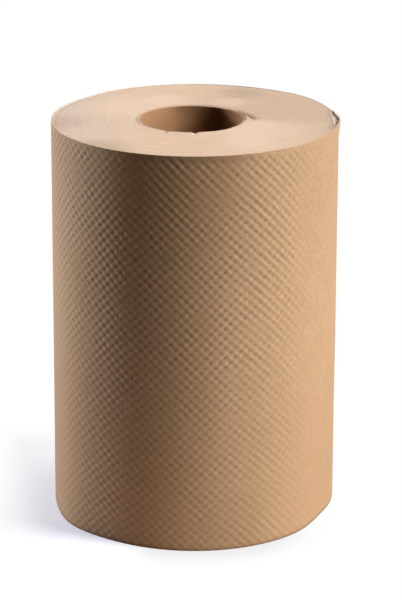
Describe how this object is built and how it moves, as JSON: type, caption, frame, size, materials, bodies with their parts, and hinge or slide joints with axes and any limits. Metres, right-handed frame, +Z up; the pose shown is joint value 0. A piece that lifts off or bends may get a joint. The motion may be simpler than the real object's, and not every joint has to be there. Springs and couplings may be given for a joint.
{
  "type": "paper towel roll",
  "caption": "Hardwound roll of embossed brown paper towel on an open cardboard core, standing on one end, with the wound edge of its turns on both ends and the sheet's loose end on its side.",
  "frame": {"origin": "on the axis of the core's bore, in the plane of the end that the roll stands on", "axes": "+Z up along the core, +X towards the thicker side of the winding and the sheet's loose end, +Y away from the front"},
  "size_m": [0.1429, 0.1427, 0.2],
  "materials": {
    "kraft_towel_paper": "matt, uncoated, with a fine crossed emboss",
    "core_board": "matt, smooth"
  },
  "bodies": {
    "root": {"towel_winding": "kraft_towel_paper", "core_tube": "core_board"}
  },
  "joints": []
}
